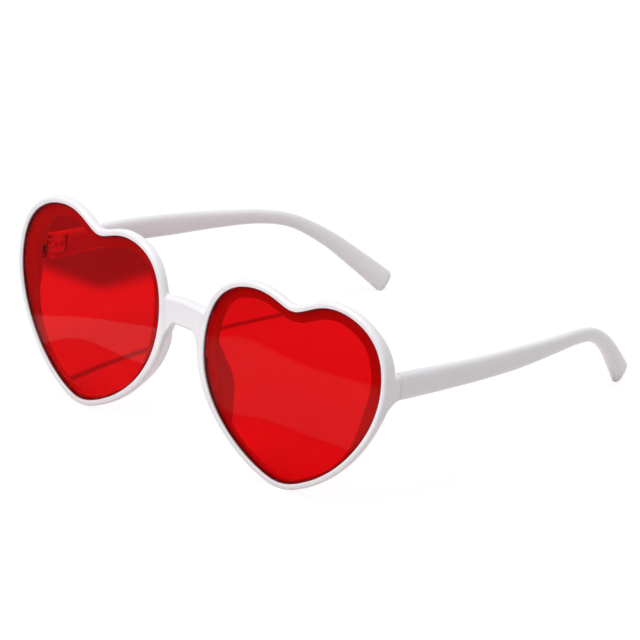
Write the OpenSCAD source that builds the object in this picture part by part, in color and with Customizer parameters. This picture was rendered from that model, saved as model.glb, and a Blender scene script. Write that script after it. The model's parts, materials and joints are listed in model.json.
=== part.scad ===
// Heart shaped sunglasses: one moulded front, two lenses set in from the front,
// and two temples that fold on steel leaf hinges.
// X runs across the front, Y from the lenses back to the ear tips and Z up.
// The pair stands open on a table, on its two rims and its two ear tips.
// Left and right are the wearer's, so the left side is at +X.

/* [Lenses] */
// Width of one lens
lens_w = 59; // [52:0.5:64]
// Height of one lens
lens_h = 55.5; // [48:0.5:60]
// Distance between the lenses across the nose
bridge_gap = 17.6; // [15:0.1:22]
// Turn of each lens away from the nose, in degrees
wrap = 6; // [2:0.5:9]
// Thickness of a lens
lens_t = 1.4; // [1:0.1:2]
// How far the lens lies below the front of its rim
lens_recess = 0.25; // [0.1:0.05:0.5]

/* [Rims] */
// Width of the lip that surrounds a lens, seen from the front
rim_lip = 1.8; // [1.4:0.1:2.6]
// Extra width of the lip beside the nose, under the bridge
nose_lip = 0.85; // [0:0.05:1]
// Depth of a rim from front to back
rim_d = 3.3; // [2.8:0.1:4.5]
// Extra depth of the rim where it meets the endpiece
rim_flare = 2.4; // [0:0.1:3]
// Width of the shelf behind the upper lens
shelf_top = 3.3; // [2:0.1:4]
// Width of the shelf behind the lower point of the lens
shelf_low = 0.8; // [0.6:0.1:2]
// Extra width of the shelf beside the temple
shelf_side = 1; // [0:0.1:1.5]
// Radius of the front edge of the lip
front_round = 0.6; // [0.3:0.1:0.8]
// Radius of the back edge of the rim
back_round = 1.3; // [0.8:0.1:1.5]

/* [Bridge and nose pads] */
// Height of the bridge at its middle
bridge_h = 8; // [6:0.1:9]
// Depth of the bridge from front to back
bridge_d = 4; // [3.4:0.1:4.6]
// Height of the middle of the bridge above the lens centres
bridge_rise = 10.9; // [8:0.1:12]
// How far the bridge lies behind the front of the rims
bridge_set = 0.4; // [0.3:0.1:1]
// How far a nose pad reaches back from the front of its rim
pad_reach = 9.4; // [7:0.1:12]
// How far the back of a nose pad leans away from the nose
pad_lean = 3.4; // [1.5:0.1:4]
// Thickness of a nose pad
pad_t = 2.6; // [2:0.1:3.2]

/* [Endpieces and temples] */
// Distance from the front of the lenses to the joint of the temple
joint_y = 11.7; // [11.3:0.1:14]
// How far the outer face of a temple lies inside the widest point of its rim
temple_inside = 0.87; // [0.3:0.01:1.2]
// Height of the temple's middle at its joint, above the lens centres
joint_rise = 7.9; // [6:0.1:9]
// Height of the temple at its joint
temple_h = 8; // [7.8:0.1:9.4]
// Thickness of the temple
temple_t = 3.6; // [3.4:0.1:4.2]
// Straight distance that the temple reaches back from its joint
temple_reach = 141.8; // [130:0.2:150]
// How far the ear tip bends in from the joint
tip_inset = 20; // [14:0.5:22]
// How far the ear tip drops below the middle of the joint
tip_drop = 34.3; // [30:0.1:38]
// Gap between a temple and its endpiece
joint_gap = 0.2; // [0.1:0.05:0.3]

/* [Hinges] */
// Outer radius of a hinge knuckle
knuckle_r = 1.5; // [1.3:0.05:1.7]
// Radius of the hinge screw's shank
pin_r = 0.7; // [0.6:0.05:0.8]
// Height of the hinge
hinge_h = 5.2; // [5:0.1:5.6]
// Thickness of a hinge leaf
leaf_t = 0.8; // [0.7:0.05:1]
// How deep the back of a leaf is let into the plastic
leaf_sink = 1.4; // [1.2:0.05:1.4]
// Length of the front leaf from the hinge axis
front_leaf_l = 5.2; // [5:0.1:5.4]
// Length of the temple leaf from the hinge axis
temple_leaf_l = 8; // [7:0.1:10]

/* [Hidden] */

// The lens outline is a closed B-spline. Each control point is a share of the lens width
// and height, from the temple side over both lobes to the nose and back along the bottom.
heart_shares = [
    [0.525, -0.005], [0.5, 0.43], [0.15, 0.545], [-0.02, 0.365],
    [-0.165, 0.5], [-0.485, 0.44], [-0.53, -0.05], [-0.315, -0.36],
    [-0.07, -0.5], [0.02, -0.505], [0.095, -0.485], [0.3, -0.36]
];
span_steps = 8;

function wrapped(list, i) = list[(i + len(list)) % len(list)];
function spline(list, i, f) = (
    pow(1 - f, 3) * wrapped(list, i - 1)
    + (3 * pow(f, 3) - 6 * pow(f, 2) + 4) * wrapped(list, i)
    + (3 * f + 3 * pow(f, 2) - 3 * pow(f, 3) + 1) * wrapped(list, i + 1)
    + pow(f, 3) * wrapped(list, i + 2)) / 6;
function unit(v) = v / norm(v);
function smooth(f) = let (c = min(max(f, 0), 1)) c * c * (3 - 2 * c);
function mix(a, b, f) = a + (b - a) * f;

// Point of the outline at a place t, counted in control points, and its outward normal.
function heart_at(t) =
    let (p = spline(heart_shares, floor(t), t - floor(t))) [p.x * lens_w, p.y * lens_h];
function heart_normal(t) =
    let (way = unit(heart_at(t + 1 / span_steps) - heart_at(t - 1 / span_steps))) [way.y, -way.x];
heart_places = [for (k = [0:len(heart_shares) * span_steps - 1]) k / span_steps];
heart = [for (t = heart_places) heart_at(t)];

lens_x = bridge_gap / 2 + lens_w / 2 * cos(wrap);
seat_gap = 0.08;
seat_y = lens_recess + lens_t;
edge_cut = 0.25;

// Points of an arc, as offset and depth.
function arc(o, y, r, from, to, steps) = [
    for (k = [0:steps]) let (a = mix(from, to, k / steps)) [o + r * cos(a), y + r * sin(a)]
];

// The rim is deepest beside the temple, at the height of the endpiece.
flare_rise = 11;
flare_span = 17;
function flare_at(p) =
    let (s = max(0, 1 - pow((p.y - flare_rise) / flare_span, 2)))
    rim_flare * s * s * smooth((p.x / lens_w - 0.2) / 0.25);
function rim_depth(p) = rim_d + flare_at(p);
// The lip is widest under the bridge and narrows again along the nose.
lip_top = 5.2;
lip_peak = 5.75;
lip_foot = 7.3;
function lip_width(t) =
    rim_lip + nose_lip * smooth((t - lip_top) / (lip_peak - lip_top))
    * pow(min(max((lip_foot - t) / (lip_foot - lip_peak), 0), 1), 1.6);
function shelf_width(p) =
    mix(shelf_low, shelf_top, smooth((p.y / lens_h + 0.36) / 0.4))
    + shelf_side * smooth(2 * p.x / lens_w) * smooth((p.y / lens_h + 0.36) / 0.4);

// The nose pad grows out of the back of the rim between two places on the outline,
// leans towards the lens and fades into the rim again.
pad_top = 5.62;
pad_foot = 6.92;
pad_root_share = 0.5;
pad_turn = 1.1;
function pad_along(t) = min(max((t - pad_top) / (pad_foot - pad_top), 0), 1);
function pad_swell(t) = sin(180 * pad_along(t));
function pad_slant(t) = pad_lean - pad_turn * smooth(2 * pad_along(t) - 0.7);

// Two cross-sections with the same number of points, as offset from the lens edge and
// depth behind the front: the plain rim, and the rim with a full nose pad.
function front_points(depth, lip) = concat(
    [[seat_gap, seat_y], [seat_gap, edge_cut], [seat_gap + edge_cut, 0]],
    arc(lip - front_round, front_round, front_round, -90, 0, 2),
    [[lip, depth * pad_root_share]]
);
function inner_points(depth, shelf) =
    [[edge_cut - shelf, depth], [-shelf, depth - edge_cut], [-shelf, seat_y]];
function plain_section(depth, shelf, lip) = concat(
    front_points(depth, lip),
    arc(lip - back_round, depth - back_round, back_round, 0, 90, 3),
    [for (k = [1:3]) [mix(lip - back_round, edge_cut - shelf, k / 4), depth]],
    inner_points(depth, shelf)
);
function pad_section(depth, shelf, lip, slant) =
    let (r = pad_t / 2, x = lip - r - slant, y = pad_reach - r)
    concat(
        front_points(depth, lip), arc(x, y, r, 0, 90, 3), arc(x, y, r, 120, 180, 2),
        inner_points(depth, shelf));
function rim_section(t) =
    let (p = heart_at(t), depth = rim_depth(p), shelf = shelf_width(p), lip = lip_width(t),
        plain = plain_section(depth, shelf, lip), full = pad_section(depth, shelf, lip, pad_slant(t)))
    [for (k = [0:len(plain) - 1]) mix(plain[k], full[k], pad_swell(t))];

// A section that stands square on the outline at t, as points in space.
function stand(section, t) =
    let (p = heart_at(t), n = heart_normal(t))
    [for (q = section) [p.x + n.x * q.x, q.y, p.y + n.y * q.x]];
rim_rings = [for (t = heart_places) stand(rim_section(t), t)];

// Faces between rings that have the same number of points.
function ring_faces(count, size, last) = [
    for (k = [0:last], i = [0:size - 1])
        let (a = k * size, b = (k + 1) % count * size, j = (i + 1) % size)
        each [[a + i, b + i, b + j], [a + i, b + j, a + j]]
];
module closed_sweep(rings) {
    faces = ring_faces(len(rings), len(rings[0]), len(rings) - 1);
    polyhedron([for (r = rings) each r], faces);
}
module loft(rings) {
    size = len(rings[0]);
    count = len(rings);
    faces = concat(
        ring_faces(count, size, count - 2),
        [[for (i = [0:size - 1]) i], [for (i = [size - 1:-1:0]) (count - 1) * size + i]]
    );
    polyhedron([for (r = rings) each r], faces);
}

module at_left_lens() {
    translate([lens_x, 0, 0]) rotate([0, 0, wrap]) children();
}

// Rounded rectangle between two corners, as points [a, b].
function round_box(low, high, r, steps) = concat(
    arc(high.x - r, high.y - r, r, 0, 90, steps),
    arc(low.x + r, high.y - r, r, 90, 180, steps),
    arc(low.x + r, low.y + r, r, 180, 270, steps),
    arc(high.x - r, low.y + r, r, 270, 360, steps)
);

// Bridge: sections across X. It is arched along its top, runs into the rims with a wide
// fillet below, and moves back behind the lenses inside the rims. The edge towards the
// nose, at the bottom of its back, has the largest rounding.
nose_y = -lens_w / 2 * sin(wrap);
bridge_end = bridge_gap / 2 + shelf_top * 0.6;
bridge_round = 1.2;
bridge_arch = 0.75;
bridge_under = 2.6;
bridge_fillet = 6;
bridge_back = 1.4;
// Each row is a share of the half length, of the arch, of the fillet and of the set back.
bridge_shares = [
    [0, 0, 0, 0], [0.18, 0.09, 0, 0], [0.28, 0.2, 0.005, 0], [0.34, 0.29, 0.04, 0],
    [0.4, 0.38, 0.14, 0.01], [0.46, 0.48, 0.31, 0.03], [0.51, 0.57, 0.5, 0.08], [0.55, 0.62, 0.72, 0.14],
    [0.6, 0.66, 0.95, 0.28], [0.66, 0.6, 1, 0.5], [0.76, 0.05, 1, 0.85], [1, -0.4, 1, 1]
];
function bridge_ring(side, row) =
    let (front = nose_y + mix(bridge_set, seat_y + edge_cut, smooth(row[3] * 1.2 - 0.2)),
        back = nose_y + bridge_set + bridge_d - bridge_back * row[3],
        low = bridge_rise - bridge_h / 2 - bridge_fillet * row[2],
        high = bridge_rise + bridge_h / 2 - bridge_arch * row[1],
        r = min(bridge_round, (back - front) / 2 - edge_cut / 2),
        under = min(bridge_under, back - front - r - edge_cut / 2),
        ring = concat(
            arc(back - r, high - r, r, 0, 90, 3), arc(front + r, high - r, r, 90, 180, 3),
            arc(front + r, low + r, r, 180, 270, 3), arc(back - under, low + under, under, 270, 360, 4)))
    [for (q = ring) [side * row[0] * bridge_end, q.x, q.y]];
bridge_rings = concat(
    [for (k = [len(bridge_shares) - 1:-1:1]) bridge_ring(-1, bridge_shares[k])],
    [for (row = bridge_shares) bridge_ring(1, row)]
);
module bridge() {
    loft(bridge_rings);
}

// Endpiece: sections across Y that carry the side of the rim on to the joint of the
// temple. The outer side starts with the curve of the rim and ends straight.
joint_out = lens_x + (lens_w / 2 + rim_lip) * cos(wrap) - temple_inside;
joint_in = joint_out - temple_t;
end_deep = rim_d * 0.35;
end_start = lens_w / 2 * sin(wrap) + end_deep;
end_round = 1.2;
end_sunk = 0.15;
end_proud = 0.25;
end_lower = 4.6;
end_upper = 2;
end_in = 1.5;
end_steps = 7;
side_steps = 6;
side_table = [
    for (t = [-1 : 1 / span_steps : 1.5])
        let (p = heart_at(t) + heart_normal(t) * rim_lip) [p.y, p.x]
];
function end_x(s, z) =
    let (y = mix(end_start, joint_y, s),
        wall = lens_x + lookup(z, side_table) * cos(wrap) - (y - end_start + end_deep) * sin(wrap))
    mix(wall + mix(-end_sunk, end_proud, smooth(3 * s)), joint_out, pow(s, 1.5));
function end_ring(s) =
    let (fade = pow(1 - s, 2.2), r = end_round,
        in = joint_in - end_in * (1 - smooth(1.6 * s)) + r,
        low = joint_rise - temple_h / 2 - end_lower * fade + r,
        high = joint_rise + temple_h / 2 + end_upper * fade - r,
        ring = concat(
            [for (k = [0:side_steps]) let (z = mix(low, high, k / side_steps)) [end_x(s, z), z]],
            arc(end_x(s, high) - r, high, r, 30, 90, 2), arc(in, high, r, 90, 180, 3),
            arc(in, low, r, 180, 270, 3), arc(end_x(s, low) - r, low, r, 270, 330, 2)))
    [for (q = ring) [q.x, mix(end_start, joint_y, s), q.y]];
module endpiece() {
    mirror([0, 1, 0]) loft([for (k = [0:end_steps]) [for (q = end_ring(k / end_steps)) [q.x, -q.y, q.z]]]);
}

// Hinge places
axis_x = joint_in + leaf_sink - knuckle_r;
axis_y = joint_y + joint_gap / 2;
turn_gap = 0.12;
pin_gap = 0.05;
head_r = 1.2;
head_h = 0.6;
overrun = 1;
room_in = 3.2;
knuckle_h = hinge_h / 3;
fix_r = 0.45;
fix_head_r = 0.85;
fix_head_h = 0.35;
fix_l = 1.4;
fix_gap = 0.05;
slot_w = 0.3;
slot_d = 0.2;
// Places of the two fixing screws, as shares of the leaf's length from the hinge axis and
// of its height from the middle: one above the other in the front, in line in the temple.
front_fix_shares = [[0.66, -0.24], [0.66, 0.24]];
temple_fix_shares = [[0.48, 0], [0.81, 0]];
$fn = 48;

module at_axis() translate([axis_x, axis_y, joint_rise]) children();

// Room in the plastic for a leaf and for the turning knuckles. The room is open at the
// top, where the screw is put in.
module hinge_room(leaf_l, side, places) {
    at_axis() {
        translate([0, 0, -hinge_h / 2 - turn_gap])
            cylinder(r = knuckle_r + turn_gap, h = hinge_h + temple_h);
        translate([-room_in, side < 0 ? -leaf_l - turn_gap : -overrun, -hinge_h / 2 - turn_gap])
            cube([knuckle_r + room_in, leaf_l + turn_gap + overrun, hinge_h + 2 * turn_gap]);
        for (place = places)
            translate([knuckle_r - overrun, side * leaf_l * place[0], hinge_h * place[1]])
                rotate([0, 90, 0]) cylinder(r = fix_r, h = fix_l + overrun);
    }
}

// A leaf is a plate rolled round the screw. Knuckles lists the thirds of the height
// that belong to this leaf.
module leaf(leaf_l, side, knuckles, bore_r, places) {
    plate_x = knuckle_r - leaf_t;
    difference() {
        union() {
            for (k = knuckles)
                translate([0, 0, k * knuckle_h - knuckle_h / 2 + turn_gap / 2]) {
                    cylinder(r = knuckle_r, h = knuckle_h - turn_gap);
                    translate([plate_x, side < 0 ? -leaf_l / 2 : 0, 0])
                        cube([leaf_t, leaf_l / 2, knuckle_h - turn_gap]);
                }
            translate([plate_x, side < 0 ? -leaf_l : knuckle_r + turn_gap, -hinge_h / 2 + turn_gap / 2])
                cube([leaf_t, leaf_l - knuckle_r - turn_gap, hinge_h - turn_gap]);
        }
        translate([0, 0, -hinge_h]) cylinder(r = bore_r, h = 2 * hinge_h);
        for (place = places)
            translate([0, side * leaf_l * place[0], hinge_h * place[1]])
                rotate([0, 90, 0]) cylinder(r = fix_r + fix_gap, h = 2 * knuckle_r);
    }
}

// Driving slot across a screw head of radius r, whose top is at the height top.
module slot(r, top) {
    translate([-r - overrun, -slot_w / 2, top - slot_d])
        cube([2 * (r + overrun), slot_w, slot_d + overrun]);
}

module hinge_screw() {
    difference() {
        union() {
            translate([0, 0, -hinge_h / 2]) cylinder(r = pin_r, h = hinge_h);
            rotate_extrude() polygon(concat(
                [[0, hinge_h / 2 - turn_gap / 2], [head_r, hinge_h / 2 - turn_gap / 2]],
                arc(head_r - head_h / 2, hinge_h / 2 + head_h / 2, head_h / 2, 0, 90, 3),
                [[0, hinge_h / 2 + head_h]]
            ));
        }
        slot(head_r, hinge_h / 2 + head_h);
    }
}

module fixing_screws(leaf_l, side, places) {
    for (place = places)
        translate([knuckle_r - leaf_t, side * leaf_l * place[0], hinge_h * place[1]]) rotate([0, 90, 0]) {
            cylinder(r = fix_r, h = leaf_t + fix_l);
            mirror([0, 0, 1]) difference() {
                rotate_extrude() polygon(concat(
                    [[0, 0], [fix_head_r, 0]],
                    arc(fix_head_r - fix_head_h / 2, fix_head_h / 2, fix_head_h / 2, 0, 90, 3),
                    [[0, fix_head_h]]
                ));
                slot(fix_head_r, fix_head_h);
            }
        }
}

// Temple: a flat bar that bows out over the temples, bends in behind the ear and drops
// to a paddle. Each row gives shares of the reach, the inset, the drop, the height and
// the thickness.
temple_shares = [
    [0, 0, 0, 1, 1], [0.133, -0.012, 0.045, 0.975, 0.97], [0.261, -0.04, 0.079, 0.91, 0.92],
    [0.408, 0.02, 0.129, 0.84, 0.88], [0.556, 0.14, 0.178, 0.66, 0.85], [0.665, 0.27, 0.224, 0.56, 0.84],
    [0.753, 0.415, 0.315, 0.535, 0.85], [0.842, 0.605, 0.51, 0.63, 0.9], [0.921, 0.795, 0.746, 0.765, 0.96],
    [1, 1, 1, 0.91, 1]
];
temple_steps = 4;
temple_round_share = 0.3;
tip_round = 1.4;
function through(list, i, f) =
    let (last = len(list) - 1, a = list[max(i - 1, 0)], b = list[i],
        c = list[min(i + 1, last)], d = list[min(i + 2, last)])
    b + (f * (c - a) + f * f * (2 * a - 5 * b + 4 * c - d) + f * f * f * (3 * b - 3 * c + d - a)) / 2;
temple_rows = [
    for (i = [0:len(temple_shares) - 2], k = [0:temple_steps - 1])
        through(temple_shares, i, k / temple_steps),
    temple_shares[len(temple_shares) - 1]
];
function temple_mid(row) = [
    joint_out - temple_t / 2 - tip_inset * row[1],
    joint_y + joint_gap + (temple_reach - tip_round) * row[0],
    joint_rise - tip_drop * row[2]
];
temple_line = [for (row = temple_rows) temple_mid(row)];
function temple_ring(mid, along, height, thick) =
    let (side = unit([1, 0, 0] - along * along.x), up = cross(side, along), half = [thick, height] / 2)
    [for (q = round_box(-half, half, min(temple_round_share * thick, half.y * 0.9), 3))
        mid - side * q.x + up * q.y];
temple_last = len(temple_line) - 1;
function temple_way(i) =
    i == 0 ? [0, 1, 0] : unit(temple_line[min(i + 1, temple_last)] - temple_line[i - 1]);
tip_way = temple_way(temple_last);
temple_rings = concat(
    [for (i = [0:temple_last])
        temple_ring(temple_line[i], temple_way(i), temple_h * temple_rows[i][3], temple_t * temple_rows[i][4])],
    [for (a = [30:30:90])
        let (row = temple_rows[temple_last], cut = 2 * tip_round * (1 - cos(a)))
        temple_ring(temple_line[temple_last] + tip_way * tip_round * sin(a), tip_way,
            temple_h * row[3] - cut, temple_t * row[4] - cut * 0.9)]
);
module temple() {
    difference() {
        loft(temple_rings);
        hinge_room(temple_leaf_l, 1, temple_fix_shares);
    }
}

// The part's own frame: the middle of the pair lies over the origin and its lowest
// points touch the plane of the table.
rim_world = [
    for (r = rim_rings, q = r)
        [q.x * sin(wrap) + q.y * cos(wrap), q.z]
];
temple_world = [for (r = temple_rings) each r];
low_z = min(min([for (q = rim_world) q[1]]), min([for (q = temple_world) q.z]));
front_y = min([for (q = rim_world) q[0]]);
back_y = max([for (q = temple_world) q.y]);
module placed() {
    translate([0, -(front_y + back_y) / 2, -low_z]) children();
}

module left_half() {
    at_left_lens() {
        closed_sweep(rim_rings);
    }
    difference() {
        endpiece();
        at_left_lens() eye_room();
    }
}
// Space of the lens, which no part of the endpiece enters.
module eye_room() {
    translate([0, seat_y, 0]) rotate([90, 0, 0]) linear_extrude(seat_y + overrun) polygon(heart);
}

module front_frame() color("white") placed() {
    difference() {
        union() {
            left_half();
            mirror([1, 0, 0]) left_half();
            bridge();
        }
        hinge_room(front_leaf_l, -1, front_fix_shares);
        mirror([1, 0, 0]) hinge_room(front_leaf_l, -1, front_fix_shares);
    }
}

module left_lens() {
    at_left_lens() translate([0, seat_y, 0]) rotate([90, 0, 0]) linear_extrude(lens_t) polygon(heart);
}
module lens_left() color("red") placed() left_lens();
module lens_right() color("red") placed() mirror([1, 0, 0]) left_lens();
module temple_left() color("white") placed() temple();
module temple_right() color("white") placed() mirror([1, 0, 0]) temple();

module front_leaf() at_axis() leaf(front_leaf_l, -1, [-1, 1], pin_r, front_fix_shares);
module temple_leaf() at_axis() leaf(temple_leaf_l, 1, [0], pin_r + pin_gap, temple_fix_shares);
module front_leaf_left() color("silver") placed() front_leaf();
module front_leaf_right() color("silver") placed() mirror([1, 0, 0]) front_leaf();
module temple_leaf_left() color("silver") placed() temple_leaf();
module temple_leaf_right() color("silver") placed() mirror([1, 0, 0]) temple_leaf();
module hinge_screw_left() color("silver") placed() at_axis() hinge_screw();
module hinge_screw_right() color("silver") placed() mirror([1, 0, 0]) at_axis() hinge_screw();
module front_leaf_screws() at_axis() fixing_screws(front_leaf_l, -1, front_fix_shares);
module temple_leaf_screws() at_axis() fixing_screws(temple_leaf_l, 1, temple_fix_shares);
module front_leaf_screws_left() color("silver") placed() front_leaf_screws();
module front_leaf_screws_right() color("silver") placed() mirror([1, 0, 0]) front_leaf_screws();
module temple_leaf_screws_left() color("silver") placed() temple_leaf_screws();
module temple_leaf_screws_right() color("silver") placed() mirror([1, 0, 0]) temple_leaf_screws();

front_frame();
lens_right();
lens_left();
temple_right();
temple_left();
front_leaf_right();
front_leaf_left();
temple_leaf_right();
temple_leaf_left();
hinge_screw_right();
hinge_screw_left();
front_leaf_screws_right();
front_leaf_screws_left();
temple_leaf_screws_right();
temple_leaf_screws_left();
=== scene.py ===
# %% [markdown]
# # Heart shaped sunglasses
# A pair of party sunglasses in five visible parts: one white moulded front, two flat lenses
# of clear plastic dyed red, and two white temples. Each temple folds on a small steel hinge
# with two leaves and five screws. The CAD model holds the places and the motion of all
# these parts. This lesson makes the surfaces that the eye sees: smooth mouldings, polished
# lenses, bright metal, soft light and the camera's place.

# %% Load the frame
import bpy
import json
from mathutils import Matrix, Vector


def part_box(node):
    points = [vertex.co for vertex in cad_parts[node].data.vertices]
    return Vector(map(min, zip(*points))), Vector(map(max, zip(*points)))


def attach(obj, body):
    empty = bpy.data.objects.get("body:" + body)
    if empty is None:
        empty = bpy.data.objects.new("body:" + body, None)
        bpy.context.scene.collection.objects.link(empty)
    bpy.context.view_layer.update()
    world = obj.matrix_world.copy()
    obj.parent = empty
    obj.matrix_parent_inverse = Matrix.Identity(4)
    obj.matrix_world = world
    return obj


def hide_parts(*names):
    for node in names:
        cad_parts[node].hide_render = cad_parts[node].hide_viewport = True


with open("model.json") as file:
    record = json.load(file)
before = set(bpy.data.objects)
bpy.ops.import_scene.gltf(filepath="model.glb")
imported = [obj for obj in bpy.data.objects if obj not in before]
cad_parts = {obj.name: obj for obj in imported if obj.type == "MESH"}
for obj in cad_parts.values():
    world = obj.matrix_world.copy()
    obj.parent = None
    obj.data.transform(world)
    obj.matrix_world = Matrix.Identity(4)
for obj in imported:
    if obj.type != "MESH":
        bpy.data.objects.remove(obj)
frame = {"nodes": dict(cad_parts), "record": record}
bpy.context.view_layer.update()

import json
import math

import bmesh
from mathutils import Matrix, Vector
from mathutils.bvhtree import BVHTree

print("nodes:", ", ".join(sorted(frame["nodes"])))

# %% [markdown]
# ## The heart
# Everything on the front follows one line: the edge of a lens. On the real object it is one
# smooth curve, so it is drawn as a closed B-spline with twelve control points, which never
# kinks. Bezier handles or arcs would also do, but they need care at every joint. All the
# sizes below are in millimetres, and a point becomes metres when it is put in a mesh.

# %% The edge of a lens
MM = 0.001
LENS_W = 59
LENS_H = 55.5
BRIDGE_GAP = 17.6
WRAP = math.radians(6)
HEART_SHARES = [
    (0.525, -0.005), (0.5, 0.43), (0.15, 0.545), (-0.02, 0.365),
    (-0.165, 0.5), (-0.485, 0.44), (-0.53, -0.05), (-0.315, -0.36),
    (-0.07, -0.5), (0.02, -0.505), (0.095, -0.485), (0.3, -0.36),
]
SPAN_STEPS = 30
LENS_X = BRIDGE_GAP / 2 + LENS_W / 2 * math.cos(WRAP)


def heart_at(t):
    """Point of the lens edge at a place t, which is counted in control points."""
    i, f = math.floor(t), t % 1
    pull = [
        (1 - f) ** 3 / 6,
        (3 * f ** 3 - 6 * f ** 2 + 4) / 6,
        (1 + 3 * f + 3 * f ** 2 - 3 * f ** 3) / 6,
        f ** 3 / 6,
    ]
    near = [HEART_SHARES[(i + k - 1) % len(HEART_SHARES)] for k in range(4)]
    x = sum(w * p[0] for w, p in zip(pull, near)) * LENS_W
    z = sum(w * p[1] for w, p in zip(pull, near)) * LENS_H
    return Vector((x, z))


def heart_out(t):
    """Direction that points away from the lens at t."""
    way = (heart_at(t + 0.1) - heart_at(t - 0.1)).normalized()
    return Vector((way.y, -way.x))


heart_places = [k / SPAN_STEPS for k in range(len(HEART_SHARES) * SPAN_STEPS)]
heart_line = [heart_at(t) for t in heart_places]
print("points on the lens edge:", len(heart_line))

# %% [markdown]
# ## The place of everything
# A lens is turned six degrees away from the nose, as on most sunglasses, and the part's own
# frame puts its lowest point on the table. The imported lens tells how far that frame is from
# the lens, so no distance is typed twice.

# %% From the lens to the frame
LENS_T = 1.4
LENS_RECESS = 0.25


def beside_nose(x, y, z):
    """Turns a point of the left lens, in its own plane, to its place beside the nose."""
    return Vector((
        LENS_X + x * math.cos(WRAP) - y * math.sin(WRAP),
        x * math.sin(WRAP) + y * math.cos(WRAP),
        z,
    ))


lens_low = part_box("lens_left")[0] / MM
edge = [beside_nose(p.x, LENS_RECESS, p.y) for p in heart_line]
SHIFT = Vector((0, lens_low.y - min(p.y for p in edge), lens_low.z - min(p.z for p in edge)))


def placed(point):
    return (Vector(point) + SHIFT) * MM


print("lens centre stands", round(SHIFT.z, 3), "mm above the table")

# %% [markdown]
# ## How a moulded bar is modelled
# The rims, the bridge, the endpieces and the temples are all bars with a section that
# changes along the way. By hand, such a bar starts as a loop of edges, which is extruded
# again and again, and each new loop is moved to its place. A bevelled curve would be
# quicker, but its section can't change its form. Every vertex keeps its number in the loop,
# and an extruded vertex takes that number along, so the code knows which one it moves.

# %% Extrude a loop from place to place
def deselected():
    bpy.ops.object.select_all(action="DESELECT")


def activated(piece):
    deselected()
    piece.select_set(True)
    bpy.context.view_layer.objects.active = piece


def extruded(name, loops, closed):
    """A bar through loops of points. A closed bar ends in the loop where it began."""
    deselected()
    bpy.ops.mesh.primitive_circle_add(vertices=len(loops[0]), radius=LENS_W / 2 * MM)
    bar = bpy.context.object
    bar.name = bar.data.name = name
    bpy.ops.object.mode_set(mode="EDIT")
    net = bmesh.from_edit_mesh(bar.data)
    net.verts.layers.int.new("number")
    number = net.verts.layers.int["number"]
    for v in net.verts:
        v[number] = v.index
    if not closed:
        bpy.ops.mesh.edge_face_add()
    for k, loop in enumerate(loops + loops[:1] if closed else loops):
        if k and closed:
            bpy.ops.mesh.extrude_edges_move()
        elif k:
            bpy.ops.mesh.extrude_region_move()
        net = bmesh.from_edit_mesh(bar.data)
        number = net.verts.layers.int["number"]
        for v in net.verts:
            if v.select:
                v.co = placed(loop[v[number]])
    bpy.ops.mesh.select_all(action="SELECT")
    bpy.ops.mesh.remove_doubles(threshold=0.0005 * MM)
    bpy.ops.mesh.normals_make_consistent(inside=False)
    bpy.ops.object.mode_set(mode="OBJECT")
    print(name, "has", len(bar.data.polygons), "faces")
    return bar


def arc(a, b, r, start, end, steps):
    """Points of an arc round (a, b), from one angle in degrees to another."""
    angles = [math.radians(start + (end - start) * k / steps) for k in range(steps + 1)]
    return [(a + r * math.cos(w), b + r * math.sin(w)) for w in angles]


def mixed(a, b, share):
    return a + (b - a) * share


def eased(share):
    """Goes from 0 to 1 with a soft start and a soft end."""
    held = min(max(share, 0), 1)
    return held * held * (3 - 2 * held)


# %% [markdown]
# ## The rims
# A rim is a moulded channel. Seen in section it has a lip that stands round the lens, a step
# that the lens lies on, and a rounded back. It changes all the way round: the shelf behind
# the lens is wide above and narrow at the point, the back is deepest beside the temple, and
# on the side of the nose the back swells into a nose pad. Each section is therefore mixed
# from a plain one and one with a full pad, which have the same number of points.

# %% Sizes of a rim
# The lip's width, what it gains beside the nose, and where on the edge it does so.
RIM_LIP = 1.8
NOSE_LIP = 0.85
LIP_TOP, LIP_PEAK, LIP_FOOT = 5.2, 5.75, 7.3
# The rim's depth, what it gains beside the temple, and round which height.
RIM_D = 3.3
RIM_FLARE = 2.4
FLARE_RISE, FLARE_SPAN = 11, 17
# The shelf's width above and at the point, and what it gains beside the temple.
SHELF_TOP = 3.3
SHELF_LOW = 0.8
SHELF_SIDE = 1
# Roundings of the lip, of the rim's back and of the small edges.
FRONT_ROUND = 0.9
BACK_ROUND = 1.3
EDGE_CUT = 0.3
# Play between the lip and the lens, behind the lens, and all round the lens itself.
SEAT_GAP = 0.08
LENS_PLAY = 0.1
EDGE_PLAY = 0.02
# How far a nose pad reaches back and leans out, its thickness, how much its foot turns back,
# and where on the edge it starts and ends.
PAD_REACH = 9.4
PAD_LEAN = 3.4
PAD_T = 2.6
PAD_TURN = 1.1
PAD_TOP, PAD_FOOT = 5.62, 6.92
SEAT_Y = LENS_RECESS + LENS_T
print("the seat lies", SEAT_Y, "mm deep and a pad reaches", PAD_REACH, "mm back")


# %% One section of a rim
def rim_depth(p):
    side = max(0, 1 - ((p.y - FLARE_RISE) / FLARE_SPAN) ** 2)
    return RIM_D + RIM_FLARE * side * side * eased((p.x / LENS_W - 0.2) / 0.25)


def lip_width(t):
    fade = min(max((LIP_FOOT - t) / (LIP_FOOT - LIP_PEAK), 0), 1)
    return RIM_LIP + NOSE_LIP * eased((t - LIP_TOP) / (LIP_PEAK - LIP_TOP)) * fade ** 1.6


def shelf_width(p):
    upper = eased((p.y / LENS_H + 0.36) / 0.4)
    return mixed(SHELF_LOW, SHELF_TOP, upper) + SHELF_SIDE * eased(2 * p.x / LENS_W) * upper


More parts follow.
